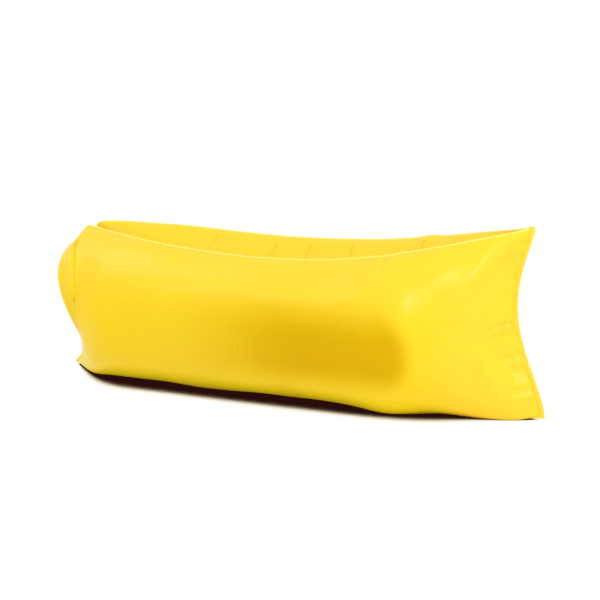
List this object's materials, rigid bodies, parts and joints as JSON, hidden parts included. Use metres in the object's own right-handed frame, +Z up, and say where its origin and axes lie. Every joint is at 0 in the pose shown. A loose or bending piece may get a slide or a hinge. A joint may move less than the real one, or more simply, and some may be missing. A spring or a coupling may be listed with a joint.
{
  "type": "inflatable air lounger",
  "caption": "Self-standing inflatable lounger: leaning air tubes on one keel form a lying trough; the rolled mouth is strapped to a C with a side-release buckle",
  "frame": {"origin": "centre of the bounding box in plan, on the floor it lies on", "axes": "+X along the lounger to the foot seam, +Y to the rear tube, +Z up"},
  "size_m": [1.9242, 0.6776, 0.682],
  "materials": {
    "ripstop_nylon": "coated ripstop nylon, taut and slightly glossy, bright yellow",
    "seam_binding": "folded and stitched nylon seam, a little lighter than the panels",
    "liner_film": "thin milky polyethylene film",
    "stiffener_plastic": "flexible black plastic strip",
    "black_webbing": "woven black webbing, 25 mm wide",
    "buckle_plastic": "moulded black acetal with a fine satin texture"
  },
  "bodies": {
    "lounger_body": {"front_outer_panel": "ripstop_nylon", "front_inner_panel": "ripstop_nylon", "rear_outer_panel": "ripstop_nylon", "rear_inner_panel": "ripstop_nylon", "front_ridge_seam": "seam_binding", "rear_ridge_seam": "seam_binding", "keel_seam": "seam_binding", "foot_end_seam": "seam_binding", "front_air_bladder": "liner_film", "rear_air_bladder": "liner_film", "mouth_roll": "ripstop_nylon", "front_stiffener_strip": "stiffener_plastic", "rear_stiffener_strip": "stiffener_plastic", "upper_strap": "black_webbing", "lower_strap": "black_webbing", "buckle_socket": "buckle_plastic"},
    "plug": {"buckle_plug": "buckle_plastic"},
    "prong_front": {"buckle_prong_front": "buckle_plastic"},
    "prong_rear": {"buckle_prong_rear": "buckle_plastic"}
  },
  "joints": [
    {"name": "plug_slide", "type": "slide", "parent": "lounger_body", "child": "plug", "axis": [0.1523, 0, -0.9883], "range_m": [0, 0.03], "deforming": ["lower_strap", "buckle_prong_front", "buckle_prong_rear"]},
    {"name": "prong_front_squeeze", "type": "hinge", "parent": "plug", "child": "prong_front", "pos_m": [-0.93531, -0.0108, 0.29581], "axis": [-0.9883, 0, -0.1523], "range_deg": [0, 9], "stiffness_Nm_per_rad": 0.05},
    {"name": "prong_rear_squeeze", "type": "hinge", "parent": "plug", "child": "prong_rear", "pos_m": [-0.93531, 0.0108, 0.29581], "axis": [-0.9883, 0, -0.1523], "range_deg": [-9, 0], "stiffness_Nm_per_rad": 0.05}
  ],
  "couplings": [
    {"joint": "prong_rear_squeeze", "follows": "prong_front_squeeze", "ratio": -1}
  ]
}
